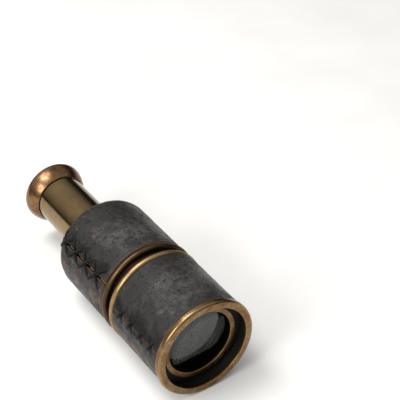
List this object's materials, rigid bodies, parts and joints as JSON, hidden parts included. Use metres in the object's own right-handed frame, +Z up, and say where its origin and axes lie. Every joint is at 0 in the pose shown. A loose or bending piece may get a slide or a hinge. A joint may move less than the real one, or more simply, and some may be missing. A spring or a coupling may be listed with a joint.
{
  "type": "draw-tube telescope",
  "caption": "Small hand-held refracting telescope: brass tubes, stitched leather covers, sliding sunshade, recessed objective, sliding draw tube and flared eyecup.",
  "frame": {"origin": "on the surface the telescope lies on, below the middle of its length at rest (draw tube out, sunshade back)", "axes": "+Y along the optical axis towards the eye, +Z up, +X to the right seen from behind the eye, stitched seams on the -X side"},
  "size_m": [0.0502, 0.1438, 0.0502],
  "materials": {
    "antique_brass": "antiqued, turned and rubbed back on the edges",
    "tube_brass": "drawn tube, dark patina",
    "blackened_brass": "matt black",
    "leather": "worn, fine grain, satin",
    "waxed_thread": "waxed, twisted",
    "optical_glass": "polished",
    "felt": "matt felt"
  },
  "bodies": {
    "barrel": {"barrel_tube": "tube_brass", "barrel_front_ring": "antique_brass", "barrel_shoulder": "tube_brass", "barrel_leather": "leather", "barrel_lacing": "waxed_thread", "draw_bush": "antique_brass", "draw_bush_felt": "felt", "objective_tube": "tube_brass", "lens_cell": "blackened_brass", "objective_retaining_ring": "antique_brass", "objective_crown_lens": "optical_glass", "lens_spacer": "blackened_brass", "objective_flint_lens": "optical_glass", "objective_stop": "blackened_brass"},
    "sunshade": {"sunshade_bezel": "antique_brass", "sunshade_tube": "tube_brass", "sunshade_liner": "felt", "sunshade_rear_ring": "antique_brass", "sunshade_leather": "leather", "sunshade_lacing": "waxed_thread"},
    "draw": {"draw_tube": "antique_brass", "draw_stop_ring": "tube_brass", "draw_diaphragm": "blackened_brass", "eyecup": "antique_brass", "eye_lens_cell": "blackened_brass", "eye_lens": "optical_glass", "eye_lens_retaining_ring": "blackened_brass"}
  },
  "joints": [
    {"name": "sunshade_slide", "type": "slide", "parent": "barrel", "child": "sunshade", "axis": [0, -1, 0], "range_m": [-0.0031, 0.0238]},
    {"name": "draw_slide", "type": "slide", "parent": "barrel", "child": "draw", "axis": [0, 1, 0], "range_m": [-0.0356, 0.0033]}
  ]
}
